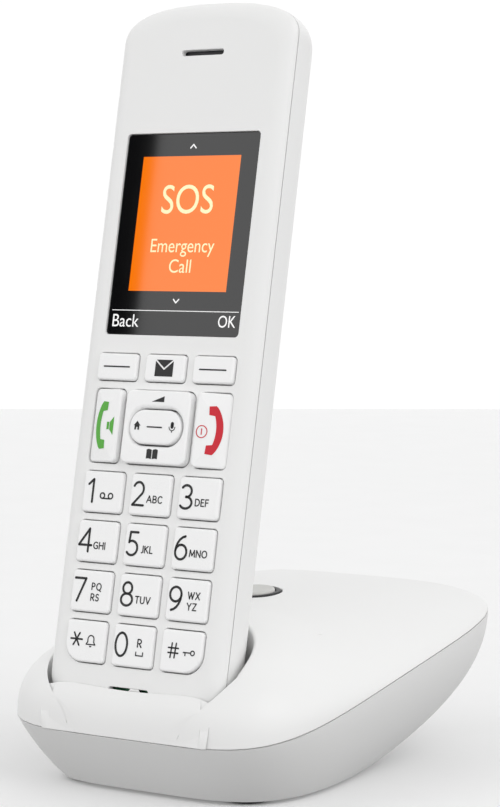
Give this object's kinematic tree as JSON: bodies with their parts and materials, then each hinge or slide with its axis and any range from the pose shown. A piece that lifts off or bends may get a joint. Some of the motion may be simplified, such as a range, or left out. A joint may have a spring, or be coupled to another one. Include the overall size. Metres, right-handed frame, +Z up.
{
  "type": "cordless telephone with charging base",
  "caption": "Cordless telephone handset with display and keypad, leaning back in a rounded charging base.",
  "frame": {"origin": "centre of the base's outline, on the ground", "axes": "+Z up, +X across the keypad (the longest side is the height), the handset faces -Y"},
  "size_m": [0.0824, 0.1068, 0.1784],
  "materials": {
    "white_shell": "fine satin white plastic",
    "white_key": "bright white key plastic, smooth",
    "base_lower": "satin white plastic of the bowl",
    "glass": "polished black display window",
    "display": "colour display module, orange picture",
    "rubber": "black elastomer",
    "mat": "pale grey silicone key mat",
    "dark_plastic": "black moulded plastic",
    "board": "green solder-masked circuit board",
    "metal": "nickel-plated spring metal",
    "gold_contact": "plated charging contact",
    "cell": "sleeved rechargeable cell"
  },
  "bodies": {
    "base": {"base_upper_shell": "white_shell", "base_lower_shell": "base_lower", "base_board": "board", "page_ring": "dark_plastic", "page_switch": "dark_plastic", "line_socket": "dark_plastic", "power_socket": "dark_plastic", "base_screw_1": "metal", "base_screw_2": "metal", "foot_front_left": "rubber", "foot_front_right": "rubber", "foot_rear_left": "rubber", "foot_rear_right": "rubber"},
    "handset": {"front_shell": "white_shell", "rear_shell": "white_shell", "display_glass": "glass", "display_module": "display", "keypad_mat": "mat", "handset_board": "board", "earpiece": "dark_plastic", "loudspeaker": "dark_plastic", "microphone": "metal", "battery_cell_left": "cell", "battery_cell_right": "cell", "battery_contact_top": "metal", "battery_contact_bottom": "metal", "charge_pad_left": "metal", "charge_pad_right": "metal"},
    "cover": {"battery_cover": "white_shell"},
    "soft_key_left_body": {"soft_key_left": "white_key"},
    "message_key_body": {"message_key": "white_key"},
    "soft_key_right_body": {"soft_key_right": "white_key"},
    "talk_key_body": {"talk_key": "white_key"},
    "end_key_body": {"end_key": "white_key"},
    "key_1_body": {"key_1": "white_key"},
    "key_2_body": {"key_2": "white_key"},
    "key_3_body": {"key_3": "white_key"},
    "key_4_body": {"key_4": "white_key"},
    "key_5_body": {"key_5": "white_key"},
    "key_6_body": {"key_6": "white_key"},
    "key_7_body": {"key_7": "white_key"},
    "key_8_body": {"key_8": "white_key"},
    "key_9_body": {"key_9": "white_key"},
    "key_star_body": {"key_star": "white_key"},
    "key_0_body": {"key_0": "white_key"},
    "key_hash_body": {"key_hash": "white_key"},
    "nav_rocker_body": {"nav_rocker": "white_key"},
    "nav_centre_body": {"nav_centre_key": "white_key"},
    "page_body": {"page_button": "white_key"},
    "contact_left": {"charge_contact_left": "gold_contact"},
    "contact_right": {"charge_contact_right": "gold_contact"}
  },
  "joints": [
    {"name": "handset_lift", "type": "slide", "parent": "base", "child": "handset", "axis": [0, 0.1925, 0.9813], "range_m": [0, 0.075]},
    {"name": "battery_cover_off", "type": "slide", "parent": "handset", "child": "cover", "axis": [0, 0.9813, -0.1925], "range_m": [0, 0.025]},
    {"name": "soft_key_left_press", "type": "slide", "parent": "handset", "child": "soft_key_left_body", "axis": [0, 0.9813, -0.1925], "range_m": [0, 0.0007], "stiffness_N_per_m": 900},
    {"name": "message_key_press", "type": "slide", "parent": "handset", "child": "message_key_body", "axis": [0, 0.9813, -0.1925], "range_m": [0, 0.0007], "stiffness_N_per_m": 900},
    {"name": "soft_key_right_press", "type": "slide", "parent": "handset", "child": "soft_key_right_body", "axis": [0, 0.9813, -0.1925], "range_m": [0, 0.0007], "stiffness_N_per_m": 900},
    {"name": "talk_key_press", "type": "slide", "parent": "handset", "child": "talk_key_body", "axis": [0, 0.9813, -0.1925], "range_m": [0, 0.0007], "stiffness_N_per_m": 900},
    {"name": "end_key_press", "type": "slide", "parent": "handset", "child": "end_key_body", "axis": [0, 0.9813, -0.1925], "range_m": [0, 0.0007], "stiffness_N_per_m": 900},
    {"name": "key_1_press", "type": "slide", "parent": "handset", "child": "key_1_body", "axis": [0, 0.9813, -0.1925], "range_m": [0, 0.0007], "stiffness_N_per_m": 900},
    {"name": "key_2_press", "type": "slide", "parent": "handset", "child": "key_2_body", "axis": [0, 0.9813, -0.1925], "range_m": [0, 0.0007], "stiffness_N_per_m": 900},
    {"name": "key_3_press", "type": "slide", "parent": "handset", "child": "key_3_body", "axis": [0, 0.9813, -0.1925], "range_m": [0, 0.0007], "stiffness_N_per_m": 900},
    {"name": "key_4_press", "type": "slide", "parent": "handset", "child": "key_4_body", "axis": [0, 0.9813, -0.1925], "range_m": [0, 0.0007], "stiffness_N_per_m": 900},
    {"name": "key_5_press", "type": "slide", "parent": "handset", "child": "key_5_body", "axis": [0, 0.9813, -0.1925], "range_m": [0, 0.0007], "stiffness_N_per_m": 900},
    {"name": "key_6_press", "type": "slide", "parent": "handset", "child": "key_6_body", "axis": [0, 0.9813, -0.1925], "range_m": [0, 0.0007], "stiffness_N_per_m": 900},
    {"name": "key_7_press", "type": "slide", "parent": "handset", "child": "key_7_body", "axis": [0, 0.9813, -0.1925], "range_m": [0, 0.0007], "stiffness_N_per_m": 900},
    {"name": "key_8_press", "type": "slide", "parent": "handset", "child": "key_8_body", "axis": [0, 0.9813, -0.1925], "range_m": [0, 0.0007], "stiffness_N_per_m": 900},
    {"name": "key_9_press", "type": "slide", "parent": "handset", "child": "key_9_body", "axis": [0, 0.9813, -0.1925], "range_m": [0, 0.0007], "stiffness_N_per_m": 900},
    {"name": "key_star_press", "type": "slide", "parent": "handset", "child": "key_star_body", "axis": [0, 0.9813, -0.1925], "range_m": [0, 0.0007], "stiffness_N_per_m": 900},
    {"name": "key_0_press", "type": "slide", "parent": "handset", "child": "key_0_body", "axis": [0, 0.9813, -0.1925], "range_m": [0, 0.0007], "stiffness_N_per_m": 900},
    {"name": "key_hash_press", "type": "slide", "parent": "handset", "child": "key_hash_body", "axis": [0, 0.9813, -0.1925], "range_m": [0, 0.0007], "stiffness_N_per_m": 900},
    {"name": "nav_rocker_tilt", "type": "hinge", "parent": "handset", "child": "nav_rocker_body", "pos_m": [0, -0.03648, 0.08179], "axis": [1, 0, 0], "range_deg": [-3, 3], "stiffness_Nm_per_rad": 0.12},
    {"name": "nav_centre_press", "type": "slide", "parent": "handset", "child": "nav_centre_body", "axis": [0, 0.9813, -0.1925], "range_m": [0, 0.0007], "stiffness_N_per_m": 900},
    {"name": "page_press", "type": "slide", "parent": "base", "child": "page_body", "axis": [0, 0.0767, -0.9971], "range_m": [0, 0.0008], "stiffness_N_per_m": 900},
    {"name": "contact_left_press", "type": "slide", "parent": "base", "child": "contact_left", "axis": [0, -0.1925, -0.9813], "range_m": [0, 0.0008], "stiffness_N_per_m": 400},
    {"name": "contact_right_press", "type": "slide", "parent": "base", "child": "contact_right", "axis": [0, -0.1925, -0.9813], "range_m": [0, 0.0008], "stiffness_N_per_m": 400}
  ]
}
